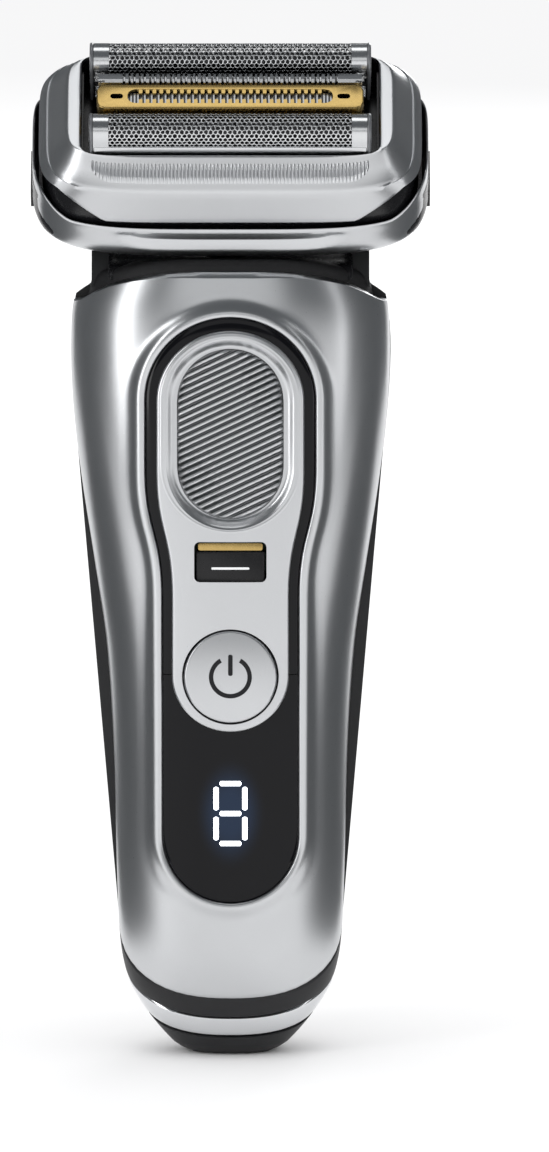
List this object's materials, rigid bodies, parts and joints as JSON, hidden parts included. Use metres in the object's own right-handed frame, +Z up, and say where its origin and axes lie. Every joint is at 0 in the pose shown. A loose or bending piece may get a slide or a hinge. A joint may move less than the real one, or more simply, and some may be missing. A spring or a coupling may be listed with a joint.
{
  "type": "electric shaver",
  "caption": "Cordless foil shaver with a tilting lockable head, floating foils, thumb panel, power button, display and a pop-up trimmer.",
  "frame": {"origin": "middle of the small flat face under the foot", "axes": "+Z up the handle, the front with the display faces -Y, +X to the right seen from the front; the head is tilted 40 degrees forward at rest"},
  "size_m": [0.0652, 0.0427, 0.1672],
  "materials": {
    "silver_shell": "fine satin silver lacquer",
    "soft_black": "charcoal soft-touch moulding",
    "seal_black": "moulded gasket",
    "bright_ring": "bright plated band",
    "gloss_black": "glossy black",
    "deck_grain": "fine spark-eroded grain",
    "head_silver": "satin silver",
    "arm_grey": "glass-filled nylon",
    "inner_black": "black moulding",
    "steel": "ground steel",
    "foil_frame": "smoke-grey moulding",
    "gold": "gold-toned hard coating",
    "bronze": "sintered bronze",
    "release_black": "black button moulding",
    "motor": "laminated steel with coils",
    "cell": "sleeved cell",
    "board": "solder mask",
    "display": "display module",
    "digit": "lit digit"
  },
  "bodies": {
    "handle": {"front_shell": "silver_shell", "parting_seal": "seal_black", "rear_shell": "soft_black", "base_ring": "bright_ring", "base_cap": "soft_black", "charging_socket": "inner_black", "socket_pins": "steel", "upper_trim": "gloss_black", "display_lens": "gloss_black", "inlay_panel": "silver_shell", "thumb_grip": "silver_shell", "lock_indicator": "gold", "top_deck": "deck_grain", "right_arm": "arm_grey", "left_arm": "arm_grey", "deck_screws": "steel", "pivot_pins": "steel", "battery_cell": "cell", "battery_contacts": "steel", "inner_chassis": "arm_grey", "main_board": "board", "display_module": "display", "display_segments": "digit", "tact_switch": "board", "trimmer_housing": "soft_black"},
    "power_key": {"power_button": "silver_shell"},
    "lock": {"lock_slider": "inner_black", "lock_link": "arm_grey"},
    "trimmer": {"trimmer_slide": "release_black", "trimmer_comb": "steel"},
    "trimmer_edge": {"trimmer_blade": "steel"},
    "head": {"head_base": "head_silver", "head_chassis": "arm_grey", "pivot_bushes": "bronze", "drive_deck": "inner_black", "motor_stator": "motor", "lock_sector": "steel"},
    "front_drive": {"front_armature": "motor"},
    "rear_drive": {"rear_armature": "motor"},
    "right_key": {"right_release": "release_black"},
    "left_key": {"left_release": "release_black"},
    "cassette": {"cassette_frame": "head_silver", "cassette_carrier": "inner_black"},
    "front_float": {"front_foil": "steel", "front_foil_frame": "foil_frame"},
    "rear_float": {"rear_foil": "steel", "rear_foil_frame": "foil_frame"},
    "skin_float": {"skin_guard": "gold"},
    "lift_float": {"lift_guard": "steel"},
    "front_knife": {"front_cutter": "steel"},
    "rear_knife": {"rear_cutter": "steel"},
    "skin_knife": {"skin_blade": "steel"},
    "lift_knife": {"lift_blade": "steel"}
  },
  "joints": [
    {"name": "head_swivel", "type": "hinge", "parent": "handle", "child": "head", "pos_m": [0, 0.002, 0.1415], "axis": [1, 0, 0], "range_deg": [-40, 0]},
    {"name": "power_press", "type": "slide", "parent": "handle", "child": "power_key", "axis": [0, 1, 0], "range_m": [0, 0.0006], "stiffness_N_per_m": 600, "springref_m": -0.0003},
    {"name": "lock_slide", "type": "slide", "parent": "handle", "child": "lock", "axis": [0, 0, 1], "range_m": [0, 0.002]},
    {"name": "trimmer_raise", "type": "slide", "parent": "handle", "child": "trimmer", "axis": [0, 0, 1], "range_m": [0, 0.011]},
    {"name": "trimmer_stroke", "type": "slide", "parent": "trimmer", "child": "trimmer_edge", "axis": [1, 0, 0], "range_m": [-0.0011, 0.0011]},
    {"name": "front_drive_stroke", "type": "slide", "parent": "head", "child": "front_drive", "axis": [1, 0, 0], "range_m": [-0.0011, 0.0011], "stiffness_N_per_m": 300},
    {"name": "rear_drive_stroke", "type": "slide", "parent": "head", "child": "rear_drive", "axis": [1, 0, 0], "range_m": [-0.0011, 0.0011]},
    {"name": "right_release_press", "type": "slide", "parent": "head", "child": "right_key", "axis": [-1, 0, 0], "range_m": [0, 0.001], "stiffness_N_per_m": 400, "springref_m": -0.0004},
    {"name": "left_release_press", "type": "slide", "parent": "head", "child": "left_key", "axis": [1, 0, 0], "range_m": [0, 0.001], "stiffness_N_per_m": 400, "springref_m": -0.0004},
    {"name": "cassette_lift", "type": "slide", "parent": "head", "child": "cassette", "axis": [0, -0.6428, 0.766], "range_m": [0, 0.025]},
    {"name": "front_foil_float", "type": "slide", "parent": "cassette", "child": "front_float", "axis": [0, -0.6428, 0.766], "range_m": [-0.0015, 0], "stiffness_N_per_m": 300, "springref_m": 0.001},
    {"name": "rear_foil_float", "type": "slide", "parent": "cassette", "child": "rear_float", "axis": [0, -0.6428, 0.766], "range_m": [-0.0015, 0], "stiffness_N_per_m": 300, "springref_m": 0.001},
    {"name": "skin_guard_float", "type": "slide", "parent": "cassette", "child": "skin_float", "axis": [0, -0.6428, 0.766], "range_m": [-0.0015, 0], "stiffness_N_per_m": 300, "springref_m": 0.001},
    {"name": "lift_trimmer_float", "type": "slide", "parent": "cassette", "child": "lift_float", "axis": [0, -0.6428, 0.766], "range_m": [-0.0015, 0], "stiffness_N_per_m": 300, "springref_m": 0.001},
    {"name": "front_cutter_stroke", "type": "slide", "parent": "front_float", "child": "front_knife", "axis": [1, 0, 0], "range_m": [-0.0011, 0.0011]},
    {"name": "rear_cutter_stroke", "type": "slide", "parent": "rear_float", "child": "rear_knife", "axis": [1, 0, 0], "range_m": [-0.0011, 0.0011]},
    {"name": "skin_blade_stroke", "type": "slide", "parent": "skin_float", "child": "skin_knife", "axis": [1, 0, 0], "range_m": [-0.0011, 0.0011]},
    {"name": "lift_blade_stroke", "type": "slide", "parent": "lift_float", "child": "lift_knife", "axis": [1, 0, 0], "range_m": [-0.0011, 0.0011]}
  ],
  "couplings": [
    {"joint": "rear_drive_stroke", "follows": "front_drive_stroke", "ratio": -1},
    {"joint": "front_cutter_stroke", "follows": "front_drive_stroke", "ratio": 1},
    {"joint": "skin_blade_stroke", "follows": "front_drive_stroke", "ratio": 1},
    {"joint": "rear_cutter_stroke", "follows": "front_drive_stroke", "ratio": -1},
    {"joint": "lift_blade_stroke", "follows": "front_drive_stroke", "ratio": -1},
    {"joint": "trimmer_stroke", "follows": "front_drive_stroke", "ratio": 1}
  ]
}
